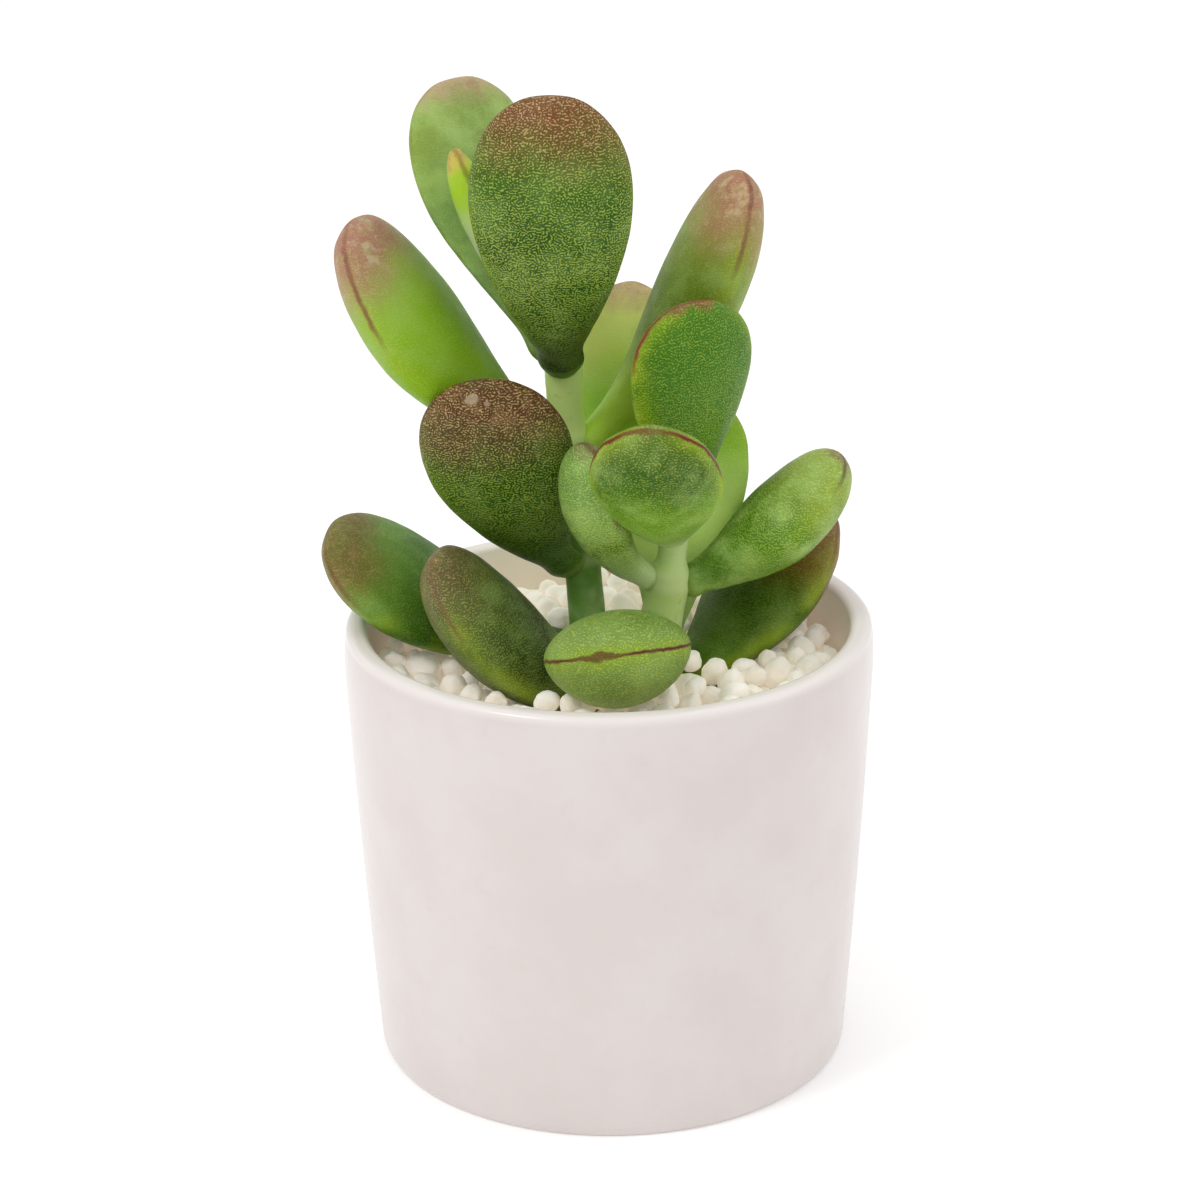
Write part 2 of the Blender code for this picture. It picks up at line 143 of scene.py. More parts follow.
class Wiring:
    """A material's nodes. Each call adds one node and returns its output."""

    def __init__(self, name):
        self.material = bpy.data.materials.new(name)
        self.material.use_nodes = True
        self.tree = self.material.node_tree
        self.shader = self.tree.nodes["Principled BSDF"]

    def feed(self, node, socket, value):
        if isinstance(value, bpy.types.NodeSocket):
            self.tree.links.new(value, node.inputs[socket])
        elif value is not None:
            node.inputs[socket].default_value = value

    def set(self, **values):
        for name, value in values.items():
            self.feed(self.shader, name.replace("_", " ").title().replace("Ior", "IOR"), value)

    def attribute(self, name):
        node = self.tree.nodes.new("ShaderNodeAttribute")
        node.attribute_name = name
        return node.outputs["Fac"]

    def place(self):
        """The point's place in millimetres."""
        coordinates = self.tree.nodes.new("ShaderNodeTexCoord")
        scale = self.tree.nodes.new("ShaderNodeVectorMath")
        scale.operation = 'SCALE'
        self.feed(scale, 0, coordinates.outputs["Object"])
        scale.inputs["Scale"].default_value = 1 / MM
        return scale.outputs["Vector"]

    def math(self, operation, first, second=None, clamp=False):
        node = self.tree.nodes.new("ShaderNodeMath")
        node.operation = operation
        node.use_clamp = clamp
        self.feed(node, 0, first)
        self.feed(node, 1, second)
        return node.outputs[0]

    def step(self, value, low, high, start=0.0, end=1.0):
        """A smooth change from start to end as value goes from low to high."""
        node = self.tree.nodes.new("ShaderNodeMapRange")
        node.interpolation_type = 'SMOOTHSTEP'
        for socket, number in zip(("Value", "From Min", "From Max", "To Min", "To Max"),
                                  (value, low, high, start, end)):
            self.feed(node, socket, number)
        return node.outputs["Result"]

    def times(self, first, second):
        return self.math('MULTIPLY', first, second)

    def swing(self, value, reach):
        """A value from 0 to 1 turned into one from minus half of reach to half of it."""
        return self.times(self.math('SUBTRACT', value, 0.5), reach)

    def noise(self, place, size_mm, detail=2.0, roughness=0.5, distortion=0.0):
        """Noise from 0 to 1 whose blotches are about size_mm across."""
        node = self.tree.nodes.new("ShaderNodeTexNoise")
        self.feed(node, "Vector", place)
        node.inputs["Scale"].default_value = 0.5 / size_mm
        node.inputs["Detail"].default_value = detail
        node.inputs["Roughness"].default_value = roughness
        node.inputs["Distortion"].default_value = distortion
        return node.outputs["Fac"]

    def worms(self, place, pitch_mm):
        """An even, winding pattern from 0 to 1."""
        node = self.tree.nodes.new("ShaderNodeTexGabor")
        node.gabor_type = '3D'
        self.feed(node, "Vector", place)
        node.inputs["Scale"].default_value = 1 / (2 * pitch_mm)
        node.inputs["Frequency"].default_value = 2.0
        node.inputs["Anisotropy"].default_value = 0.0
        return node.outputs["Value"]

    def mix(self, factor, first, second, blend='MIX'):
        node = self.tree.nodes.new("ShaderNodeMix")
        node.data_type = 'RGBA'
        node.blend_type = blend
        self.feed(node, 0, factor)
        self.feed(node, 6, first)
        self.feed(node, 7, second)
        return node.outputs[2]

    def stained(self, colour, tint):
        return self.mix(1.0, colour, tint, 'MULTIPLY')

    def bump(self, height, strength, distance_mm):
        node = self.tree.nodes.new("ShaderNodeBump")
        self.feed(node, "Height", height)
        node.inputs["Strength"].default_value = strength
        node.inputs["Distance"].default_value = distance_mm * MM
        return node.outputs["Normal"]


# ---- reading the CAD pieces ----

def welded(node):
    """A CAD piece's points, and each point's neighbours."""
    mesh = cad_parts[node].data
    corners = np.array([vertex.co for vertex in mesh.vertices])
    points, index = np.unique(np.round(corners, 7), axis=0, return_inverse=True)
    index = index.ravel()
    neighbours = [set() for _ in points]
    for edge in mesh.edges:
        first, second = index[edge.vertices[0]], index[edge.vertices[1]]
        if first != second:
            neighbours[first].add(second)
            neighbours[second].add(first)
    return points, neighbours


def rings_from(start, neighbours, sides):
    """Rings of points, each one the neighbours of the ring before, while each has the right number."""
    seen, ring, rings = set(start), set(start), []
    while True:
        ring = {other for point in ring for other in neighbours[point]} - seen
        if len(ring) != sides:
            return rings
        rings.append(sorted(ring))
        seen |= ring


def in_order(ring, side, up):
    """The ring's points by their angle from up towards side, starting with the one nearest to up."""
    offsets = ring - ring.mean(0)
    angles = np.arctan2(offsets @ side, offsets @ up) % (2 * math.pi)
    order = np.argsort(angles)
    first = np.argmin(np.abs(np.angle(np.exp(1j * angles[order]))))
    return ring[np.roll(order, -first)]


def unit(vector):
    return vector / np.linalg.norm(vector)


def leaf_rings(node):
    """The leaf's whole rings from stem to tip, each starting at the middle of its upper face, and the tip."""
    points, neighbours = welded(node)
    poles = [i for i, around in enumerate(neighbours) if len(around) == LEAF_SIDES]
    tip = max(poles, key=lambda pole: len(rings_from([pole], neighbours, LEAF_SIDES)))
    rings = [points[ring] for ring in rings_from([tip], neighbours, LEAF_SIDES)]
    middles = [ring.mean(0) for ring in rings]
    widest = max(range(len(rings)), key=lambda i: np.linalg.norm(rings[i] - middles[i], axis=1).max())
    along = unit(middles[widest - 1] - middles[widest + 1])
    side = unit(np.linalg.svd(rings[widest] - middles[widest])[2][0])
    up = unit(np.cross(along, side))
    lifts = (rings[widest] - middles[widest]) @ up
    reach = np.abs((rings[widest] - middles[widest]) @ side)
    margin = lifts[np.argsort(reach)[-4:]].mean()
    if lifts.max() - margin > margin - lifts.min():
        side, up = -side, -up
    ordered = []
    for i, ring in enumerate(rings):
        low, high = middles[min(i + 1, len(rings) - 1)], middles[i - 1] if i else points[tip]
        along = unit(high - low)
        ring_side = unit(side - along * (side @ along))
        ordered.append(in_order(ring, ring_side, unit(np.cross(along, ring_side))))
    return np.array(ordered[::-1]), points[tip]


def stem_rings(node):
    points, neighbours = welded(node)
    lowest = np.argsort(points[:, 2])[:STEM_SIDES]
    rings = [points[lowest]] + [points[ring] for ring in rings_from(lowest, neighbours, STEM_SIDES)]
    return np.array([in_order(ring, np.array((1.0, 0, 0)), np.array((0, 1.0, 0))) for ring in rings])


def pot_outline():
    """(radius, height) along the CAD pot's turned profile, from the middle of its floor to its underside."""
    points, neighbours = welded("pot")
    meridian = {i for i, point in enumerate(points) if abs(point[1]) < 1e-6 and point[0] > 0}
    here = min(meridian, key=lambda i: points[i][0])
    chain = [here]
    while True:
        following = [i for i in neighbours[here] & meridian if i not in chain]
        if not following:
            turned = points[chain][:, (0, 2)]
            return np.concatenate(([(0.0, turned[0][1])], turned, [(0.0, turned[-1][1])]))
        here = min(following, key=lambda i: np.linalg.norm(points[i] - points[here]))
        chain.append(here)


# ---- finer surfaces ----

def catmull_rom(rows, steps):
    """Rows between the second and the last but one, steps to each, on a smooth run through them all."""
    out = []
    for before, start, end, after in zip(rows, rows[1:], rows[2:], rows[3:]):
        square = 2 * before - 5 * start + 4 * end - after
        cube = 3 * start - before - 3 * end + after
        for t in np.arange(steps) / steps:
            out.append(0.5 * (2 * start + (end - before) * t + square * t ** 2 + cube * t ** 3))
    out.append(rows[-2])
    return np.array(out)


def rounded(rings, steps):
    """Each ring of points made smoother, steps to each side."""
    wrapped = np.concatenate((rings[:, -1:], rings, rings[:, :2]), axis=1)
    return catmull_rom(np.swapaxes(wrapped, 0, 1), steps)[:-1].swapaxes(0, 1)


def tube_faces(rings, sides, closed_tip):
    """Quads between rings, a cap on the first, and either a cap or a fan to one point at the end."""
    faces = [tuple(range(sides))[::-1]]
    for ring in range(rings - 1):
        for corner in range(sides):
            a, b = ring * sides + corner, ring * sides + (corner + 1) % sides
            faces.append((a, b, b + sides, a + sides))
    last = (rings - 1) * sides
    if closed_tip:
        faces += [(last + corner, last + (corner + 1) % sides, last + sides) for corner in range(sides)]
    else:
        faces.append(tuple(range(last, last + sides)))
    return faces


def new_piece(name, points, faces, material, replaced, attributes=None):
    mesh = bpy.data.meshes.new(name)
    mesh.from_pydata([tuple(point) for point in points], [], faces)
    for key, values in (attributes or {}).items():
        mesh.attributes.new(key, 'FLOAT', 'POINT').data.foreach_set("value", np.asarray(values, np.float32))
    cage = bmesh.new()
    cage.from_mesh(mesh)
    bmesh.ops.recalc_face_normals(cage, faces=cage.faces)
    cage.to_mesh(mesh)
    cage.free()
    mesh.shade_smooth()
    mesh.materials.append(material)
    piece = bpy.data.objects.new(name, mesh)
    bpy.context.scene.collection.objects.link(piece)
    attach(piece, "root")
    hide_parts(replaced)
    return piece


def uneven(points, centres, size_mm, seed):
    """Each point moved out from or in towards its ring's middle a little, as grown things are."""
    moved = points.copy()
    offset = Vector((seed * 7.3, seed * 3.1, seed * 5.7))
    for i, (point, centre) in enumerate(zip(points, centres)):
        wave = sum(share * noise.noise(Vector(point) / MM * rate + offset) for rate, share in UNEVEN_WAVES)
        outward = point - centre
        length = np.linalg.norm(outward)
        if length > MM:
            moved[i] = point + outward / length * wave * size_mm * MM
    return moved


# ---- leaves ----

# Colours run from the stem to the tip: foot, middle, upper. They are partly the leaf's own greens and
# partly painted light and shade, lighter or darker leaf by leaf and along each leaf for how light falls on
# it. blush is the tint of the tip, from blush_from to blush_full along the leaf, and scuff that of its worn
# spots. rim is the line along the margin, rim_width millimetres from the margin to where it ends, from
# rim_from on. glow is a painted glow of light through thin margins, in yellow-green, bloom the pale wax and
# pattern the contrast of the winding cells. A mark is a spot: its place along and across the leaf, its reach
# in both, and its colour.
LOOK = dict(foot=(104, 140, 74), middle=(72, 112, 38), upper=(96, 132, 56),
            blush=(134, 88, 70), blush_from=0.8, blush_full=1.0, blush_amount=0.6,
            rim=(88, 40, 28), rim_from=0.7, rim_amount=0.5, rim_width=0.7,
            glow=0.25, bloom=0.3, pattern=0.5, scuff=(150, 112, 76), marks=())


def look(**changes):
    return {**LOOK, **changes}


PLANT_SHADER = dict(subsurface_weight=0.12, subsurface_radius=(0.5, 1.0, 0.25), subsurface_scale=0.0025,
                    specular_ior_level=0.2)

# Each leaf's foot, middle and upper colours hold painted light and shade as well as its own greens.
LOOKS = {
    "leaf_top_front": look(foot=(12, 44, 4), middle=(36, 84, 8), upper=(60, 104, 16), blush=(128, 72, 44),
                           blush_from=0.72, blush_amount=0.95, rim_from=0.5, bloom=0.25, pattern=0.9),
    "leaf_top_back": look(foot=(124, 156, 92), middle=(124, 160, 96), upper=(144, 168, 84),
                          blush=(188, 152, 132), blush_from=0.86, blush_full=0.99, blush_amount=0.8,
                          rim_amount=0.25, bloom=0.8, pattern=0.3),
    "leaf_bud_left": look(foot=(152, 184, 104), middle=(192, 204, 172), upper=(160, 200, 32),
                          blush=(216, 176, 96), blush_from=0.9, blush_full=0.99, blush_amount=0.7, glow=0.5,
                          bloom=0.2, pattern=0.12),
    "leaf_bud_right": look(foot=(152, 184, 104), middle=(168, 192, 112), upper=(172, 204, 48),
                           blush=(216, 176, 96), blush_from=0.9, blush_full=0.99, blush_amount=0.7,
                           glow=0.5, bloom=0.2, pattern=0.12),
    "leaf_upper_left": look(foot=(88, 124, 32), middle=(144, 192, 12), upper=(152, 184, 72),
                            blush=(172, 116, 104), blush_from=0.72, blush_full=0.94, blush_amount=0.95,
                            rim=(120, 60, 48), rim_from=0.62, rim_amount=0.8, glow=0.5, pattern=0.4,
                            scuff=(206, 190, 160)),
    "leaf_upper_right": look(foot=(196, 232, 76), middle=(100, 128, 4), upper=(148, 160, 68),
                             blush=(168, 112, 92), blush_from=0.72, blush_full=0.94, blush_amount=0.95,
                             rim=(112, 52, 48), rim_from=0.66, rim_amount=0.7, glow=0.5, bloom=0.35,
                             pattern=0.35, scuff=(206, 188, 150)),
    "leaf_middle_left": look(foot=(36, 96, 8), middle=(36, 84, 4), upper=(64, 80, 12), blush=(92, 52, 24),
                             blush_from=0.6, blush_full=0.94, blush_amount=0.92, bloom=0.2, pattern=0.8,
                             marks=((0.95, -0.22, 0.02, 0.16, (176, 158, 134)),
                                    (0.93, 0.1, 0.012, 0.08, (160, 140, 120)))),
    "leaf_middle_back": look(foot=(140, 172, 100), middle=(136, 188, 44), upper=(208, 212, 112),
                             blush=(176, 132, 120), blush_from=0.84, blush_full=0.97, blush_amount=0.85,
                             glow=0.4, bloom=0.4, pattern=0.4),
    "leaf_rim_left": look(foot=(56, 88, 24), middle=(40, 96, 4), upper=(108, 152, 52), blush=(112, 84, 44),
                          blush_from=0.72, blush_full=0.95, blush_amount=0.85, glow=0.8, pattern=0.3),
    "leaf_shoot_back": look(foot=(72, 116, 32), middle=(64, 120, 4), upper=(64, 120, 4),
                            blush=(120, 60, 40), blush_from=0.955, blush_amount=0.8, rim=(124, 56, 36),
                            rim_amount=1.0, glow=0.8, bloom=0.05, pattern=0.6),
    "leaf_shoot_front": look(foot=(212, 232, 188), middle=(104, 152, 28), upper=(52, 96, 4),
                             blush=(96, 128, 20), blush_from=0.86, blush_full=0.98, blush_amount=0.4,
                             rim=(104, 36, 20), rim_from=0.62, rim_amount=1.0, glow=1.0, bloom=0.5,
                             pattern=0.6),
    "leaf_shoot_left": look(foot=(216, 236, 188), middle=(80, 124, 48), upper=(120, 160, 84),
                            blush=(152, 120, 104), blush_from=0.93, blush_amount=0.5, rim=(96, 56, 48),
                            rim_from=0.5, rim_amount=0.95, rim_width=1.1, bloom=0.8, pattern=0.85),
    "leaf_shoot_right": look(foot=(88, 136, 40), middle=(84, 136, 32), upper=(156, 176, 80),
                             blush=(128, 96, 84), blush_from=0.92, blush_amount=0.75, rim=(88, 60, 52),
                             rim_from=0.8, rim_amount=0.8, bloom=0.85, pattern=0.7),
    "leaf_low_front": look(foot=(108, 136, 40), middle=(80, 124, 20), upper=(136, 164, 84),
                           blush=(112, 64, 40), blush_from=0.97, blush_amount=0.0, rim=(92, 40, 28),
                           rim_from=0.45, rim_amount=1.0, rim_width=0.45, glow=0.6, bloom=0.4,
                           pattern=0.75),
    "leaf_low_back": look(foot=(120, 160, 92), middle=(204, 236, 128), upper=(144, 192, 48),
                          blush_amount=0.15, rim_amount=0.3, pattern=0.45),
    "leaf_low_right": look(foot=(88, 132, 4), middle=(60, 96, 4), upper=(136, 88, 40), blush=(132, 96, 80),
                           blush_from=0.74, blush_full=0.95, blush_amount=0.85, glow=0.6, bloom=0.25,
                           pattern=0.3),
    "leaf_low_left": look(foot=(56, 84, 40), middle=(48, 68, 24), upper=(84, 100, 44), blush=(104, 80, 56),
                          blush_from=0.74, blush_full=0.98, blush_amount=0.75, rim=(112, 64, 52), glow=0.6,
                          bloom=0.35)}


def leaf_tint(w, traits, place, reach, patches):
    """The leaf's greens with painted light and shade, from foot to tip, a painted glow on thin margins, under
    its wax.
    """
    colour = w.mix(w.step(reach, 0.02, 0.42), screen(*traits["foot"]), screen(*traits["middle"]))
    colour = w.mix(w.step(reach, 0.50, 0.86), colour, screen(*traits["upper"]))
    deep = w.step(w.noise(place, 9.0, detail=1.0), 0.40, 0.68, 0.0, 0.35)
    colour = w.mix(deep, colour, w.stained(colour, screen(168, 186, 120)))
    # Painted glow: thin margins are lightened towards yellow-green, as if lit through.
    thinness = w.step(w.math('ABSOLUTE', w.attribute("lift_mm")), 0.0, 3.0, 1.0, 0.0)
    glow = w.times(w.times(thinness, w.step(patches, 0.35, 0.6)), traits["glow"])
    colour = w.mix(glow, colour, screen(150, 176, 18))
    waxy = w.step(w.noise(place, 3.2, detail=4.0, roughness=0.6), 0.38, 0.72)
    return w.mix(w.times(w.times(waxy, traits["bloom"]), 0.75), colour, screen(176, 208, 122))


def blushed(w, traits, place, colour, blush, grit):
    """The tip's brown or pink, with worn spots in it."""
    colour = w.mix(w.times(blush, w.step(grit, 0.25, 0.6, 0.7, 1.0)), colour, screen(*traits["blush"]))
    worn = w.step(w.noise(place, 1.9, detail=4.0, roughness=0.7), 0.50, 0.66, 0.0, 0.6)
    return w.mix(w.times(worn, blush), colour, screen(*traits["scuff"]))


def with_cells(w, traits, colour, cells, along, blush):
    """The skin's pale winding lines, and a slight shade between them."""
    green_cell = w.mix(0.46, colour, screen(200, 216, 84))
    brown_cell = w.mix(0.52, colour, screen(232, 196, 140))
    amount = w.step(along, 0.05, 0.5, 0.45 * traits["pattern"], traits["pattern"])
    between = w.mix(traits["pattern"], colour, w.stained(colour, screen(222, 226, 210)))
    return w.mix(w.times(cells, amount), between, w.mix(blush, green_cell, brown_cell))


def with_rim(w, traits, colour, along, reach, patches, grit):
    """The dark line along the margin, a little broken and uneven."""
    from_margin = w.math('ABSOLUTE', w.math('ADD', w.attribute("lift_mm"), w.swing(grit, 1.1)))
    line = w.step(from_margin, 0.12, traits["rim_width"], 1.0, 0.0)
    line = w.times(line, w.step(reach, traits["rim_from"], traits["rim_from"] + 0.14))
    line = w.times(line, w.step(patches, 0.3, 0.55, 0.45, 1.0))
    line = w.times(line, w.step(along, 0.955, 0.995, 1.0, 0.8))
    return w.mix(w.times(line, traits["rim_amount"]), colour, screen(*traits["rim"]))


def with_mark(w, mark, colour, along, grit):
    mark_along, mark_across, reach_along, reach_across, mark_colour = mark
    length_off = w.times(w.math('SUBTRACT', along, mark_along), 1 / reach_along)
    width_off = w.times(w.math('SUBTRACT', w.attribute("across"), mark_across), 1 / reach_across)
    off = w.math('ADD', w.times(length_off, length_off), w.times(width_off, width_off))
    off = w.math('ADD', off, w.swing(grit, 2.4))
    return w.mix(w.step(off, 0.4, 1.0, 0.6, 0.0), colour, screen(*mark_colour))


def leaf_material(node, traits):
    w = Wiring(node)
    place = w.place()
    along = w.attribute("along")
    patches = w.noise(place, SKIN_PATCH_MM, detail=3.0)
    grit = w.noise(place, SKIN_GRIT_MM, detail=3.0, roughness=0.65)
    reach = w.math('ADD', along, w.swing(patches, 0.22))
    blush = w.times(w.step(reach, traits["blush_from"], traits["blush_full"]), traits["blush_amount"])
    threshold = w.step(along, 0.35, 0.9, 0.50, 0.56)
    cells = w.step(w.math('SUBTRACT', w.worms(place, WORM_PITCH_MM), threshold), -0.06, 0.10)

    colour = leaf_tint(w, traits, place, reach, patches)
    colour = blushed(w, traits, place, colour, blush, grit)
    colour = with_cells(w, traits, colour, cells, along, blush)
    colour = with_rim(w, traits, colour, along, reach, patches, grit)
    for mark in traits["marks"]:
        colour = with_mark(w, mark, colour, along, grit)
    colour = w.mix(w.step(along, 0.0, 0.025, 0.6, 0.0), colour, screen(132, 160, 70))

    w.set(base_color=colour, roughness=w.step(grit, 0.2, 0.8, 0.42, 0.58),
          normal=w.bump(w.math('ADD', w.times(cells, 0.6), grit), 0.35, 0.12))
    w.set(**PLANT_SHADER)
    return w.material


def leaf_piece(node, seed):
    rings, tip = leaf_rings(node)
    middles = rings.mean(1)
    first_step = middles[0] - middles[1]
    root = rings[0] + first_step * ROOT_REACH
    root = root.mean(0) + (root - root.mean(0)) * ROOT_SHARE
    inside = root + first_step * INNER_REACH
    inside = inside.mean(0) + (inside - inside.mean(0)) * INNER_SHARE
    rows = np.concatenate(([inside + first_step * 0.4, inside, root], rings, [np.tile(tip, (LEAF_SIDES, 1))],
                           [np.roll(rings[-1], LEAF_SIDES // 2, axis=0)]))
    surface = rounded(catmull_rom(rows, LEAF_STEPS_ALONG), LEAF_STEPS_ROUND)
    count, sides = surface.shape[:2]
    surface_middles = surface.mean(1)
    travelled = np.concatenate(([0.0], np.cumsum(np.linalg.norm(np.diff(surface_middles, axis=0), axis=1))))
    start = travelled[LEAF_STEPS_ALONG]
    along = (travelled - start) / (travelled[-1] - start)
    quarter = sides // 4
    margins = (surface[:, quarter] + surface[:, 3 * quarter]) / 2
    across = surface[:, quarter] - surface[:, 3 * quarter]
    lifts = np.zeros((count, sides))
    for i in range(count - 1):
        forward = unit(surface_middles[min(i + 1, count - 1)] - surface_middles[i])
        up = unit(np.cross(forward, across[i]))
        lifts[i] = (surface[i] - margins[i]) @ up / MM
    body = surface[:-1].reshape(-1, 3)
    centres = np.repeat(surface_middles[:-1], sides, axis=0)
    points = np.concatenate((uneven(body, centres, UNEVENNESS_MM, seed), [tip]))
    around = np.sin(2 * math.pi * np.arange(sides) / sides)
    attributes = {"along": np.append(np.repeat(along[:-1], sides), 1.0),
                  "across": np.append(np.tile(around, count - 1), 0.0),
                  "lift_mm": np.append(lifts[:-1].ravel(), 0.0)}
    faces = tube_faces(count - 1, sides, True)
    material = leaf_material(node + "_skin", LOOKS[node])
    return new_piece(node + "_skin", points, faces, material, node, attributes)


# ---- stems ----

# The colours of old and young wood, and the heights over the gravel, in millimetres, where they meet. The
# main stem's young wood is partly painted light, paler against the shade under the leaves.
STEM_LOOKS = {"main_stem": ((100, 142, 58), (232, 252, 160), 12.0, 28.0),
              "front_stem": ((134, 166, 84), (176, 202, 118), 2.0, 12.0)}
FIRST_STEM_SEED = 40


def stem_material(name, low, high, turn_from, turn_to):
    """low and high are the colours of the old and the young wood, which meet between two heights.
    The main stem's high is partly painted light, paler against the shade under the leaves.
    """
    w = Wiring(name)
    place = w.place()
    patches = w.noise(place, 4.0, detail=3.0)
    grit = w.noise(place, 0.9, detail=3.0, roughness=0.6)
    height = w.math('ADD', w.attribute("height_mm"), w.swing(patches, 8.0))
    colour = w.mix(w.step(height, turn_from, turn_to), screen(*low), screen(*high))
    colour = w.mix(w.step(patches, 0.45, 0.75, 0.0, 0.4), colour, screen(206, 222, 168))
    colour = w.mix(w.step(w.attribute("joint"), 0.35, 1.0, 0.0, 0.45), colour, screen(196, 208, 150))
    colour = w.mix(w.step(grit, 0.58, 0.75, 0.0, 0.35), colour, w.stained(colour, screen(180, 196, 150)))
    w.set(base_color=colour, roughness=w.step(grit, 0.2, 0.8, 0.42, 0.6), normal=w.bump(grit, 0.25, 0.15))
    w.set(**PLANT_SHADER)
    return w.material


def stem_piece(node, joints, material, seed):
    """joints are the points where leaves leave this stem."""
    rings = stem_rings(node)
    rise = rings[-1].mean(0) - rings[-2].mean(0)
    top = rings[-1].mean(0)
    caps = [top + unit(rise) * STEM_TIP_RISE_MM * MM * lift + (rings[-1] - top) * share
            for lift, share in STEM_TIP]
    rows = np.concatenate(([2 * rings[0] - rings[1]], rings, caps, [caps[1][::-1]]))
    surface = rounded(catmull_rom(rows, STEM_STEPS_ALONG), STEM_STEPS_ROUND)
    middles = surface.mean(1)
    swell = np.zeros(len(middles))
    for joint in joints:
        swell = np.maximum(swell, np.exp(-((middles[:, 2] - joint[2]) / (JOINT_SPREAD_MM * MM)) ** 2))
    swell[-2 * STEM_STEPS_ALONG:] = 0.0
    outward = surface - middles[:, None]
    lengths = np.linalg.norm(outward, axis=2, keepdims=True)
    surface = surface + outward / np.maximum(lengths, 1e-9) * (swell * JOINT_SWELL_MM * MM)[:, None, None]
    count, sides = surface.shape[:2]
    body = surface[:-1].reshape(-1, 3)
    centres = np.repeat(middles[:-1], sides, axis=0)
    points = np.concatenate((uneven(body, centres, UNEVENNESS_MM, seed), [middles[-1]]))
    gravel_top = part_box("white_gravel")[1].z
    attributes = {"height_mm": (points[:, 2] - gravel_top) / MM,
                  "joint": np.append(np.repeat(swell[:-1], sides), 0.0)}
    faces = tube_faces(count - 1, sides, True)
    return new_piece(node + "_skin", points, faces, material, node, attributes)


# ---- pot ----

def glaze_material():
    w = Wiring("pot_glaze")
    place = w.place()
    clouds = w.noise(place, 9.0, detail=4.0, roughness=0.6)
    flecks = w.noise(place, 1.6, detail=3.0, roughness=0.6)
    colour = w.mix(w.step(clouds, 0.3, 0.7), screen(212, 202, 199), screen(216, 208, 205))
    colour = w.mix(w.step(flecks, 0.55, 0.8, 0.0, 0.25), colour, screen(206, 195, 190))
    # Painted light: the inside of the pot is painted lighter, standing in for light bouncing inside it.
    colour = w.mix(w.attribute("inside"), colour, screen(250, 238, 226))
    height = w.attribute("height_mm")
    colour = w.mix(w.attribute("bare"), colour, screen(206, 190, 172))
    # A painted highlight: the rim's band is painted lighter all round.
    colour = w.mix(w.step(height, *LIP_HIGHLIGHT_MM, 0.0, 0.8), colour, screen(236, 229, 225))
    roughness = w.math('ADD', w.step(clouds, 0.3, 0.7, 0.20, 0.26), w.times(w.attribute("bare"), 0.5))
    w.set(base_color=colour, roughness=roughness, normal=w.bump(clouds, 0.12, 0.25))
    w.set(specular_ior_level=0.5, coat_weight=0.0)
    return w.material


def pot_piece():
    outline = pot_outline()
    fine = [outline[0]]
    tangents = np.gradient(outline, axis=0)
    tangents[0] = tangents[-1] = (1.0, 0.0)
    tangents[-1] = (-1.0, 0.0)
    tangents = tangents / np.linalg.norm(tangents, axis=1)[:, None]
    for start, end, out, into in zip(outline, outline[1:], tangents, tangents[1:]):
        length = np.linalg.norm(end - start)
        for t in (np.arange(POT_STEPS_ALONG) + 1) / POT_STEPS_ALONG:
            fine.append((2 * t ** 3 - 3 * t ** 2 + 1) * start + (t ** 3 - 2 * t ** 2 + t) * length * out
                        + (3 * t ** 2 - 2 * t ** 3) * end + (t ** 3 - t ** 2) * length * into)
    fine = np.array(fine)[1:-1]
    turns = 2 * math.pi * np.arange(POT_TURN_STEPS) / POT_TURN_STEPS
    rings = np.stack((fine[:, :1] * np.cos(turns), fine[:, :1] * np.sin(turns),
                      np.repeat(fine[:, 1:], POT_TURN_STEPS, axis=1)), axis=2)
    points = np.concatenate((rings.reshape(-1, 3), [(0, 0, outline[-1][1]), (0, 0, outline[0][1])]))
    faces = tube_faces(len(fine), POT_TURN_STEPS, True)
    centre = len(points) - 1
    faces[0:1] = [(centre, corner, (corner + 1) % POT_TURN_STEPS) for corner in range(POT_TURN_STEPS)]
    under = (points[:, 2] < UNDERSIDE_MM * MM) & (np.hypot(points[:, 0], points[:, 1]) < outline[:, 0].max())
    rows = np.concatenate((np.repeat(np.arange(len(fine)), POT_TURN_STEPS), (len(fine), 0)))
    # Points on the inside of the pot, whose glaze is painted lighter as painted bounce light.
    within = rows < np.argmax(fine[:, 1])
    attributes = {"height_mm": points[:, 2] / MM,
                  "bare": under.astype(float),
                  "inside": within.astype(float)}
    return new_piece("pot_glazed", points, faces, glaze_material(), "pot", attributes)


# ---- granules ----

def granule_shapes(random, subdivisions):
    """Lumpy balls of radius 1: each has a few lobes that stand out from it."""
    ball = bmesh.new()
    bmesh.ops.create_icosphere(ball, subdivisions=subdivisions, radius=1.0)
    directions = np.array([vert.co for vert in ball.verts])
    faces = np.array([[vert.index for vert in face.verts] for face in ball.faces])
    ball.free()
    shapes = []
    for kind in range(GRANULE_KINDS):
        radius = np.full(len(directions), 0.90)
        for _ in range(random.randint(*GRANULE_LOBES)):
            lobe = unit(random.normal(size=3))
            closeness = directions @ lobe
            radius += random.uniform(0.06, 0.20) * np.exp((closeness - 1) / random.uniform(0.05, 0.16))
        offset = Vector((kind * 9.1, 4.0, 1.0))
        for rate, share in GRANULE_WAVES:
            radius += [share * noise.noise(Vector(direction) * rate + offset) for direction in directions]
        stretch = random.uniform(0.86, 1.14, 3)
        shapes.append(directions * radius[:, None] * stretch)
    return shapes, faces


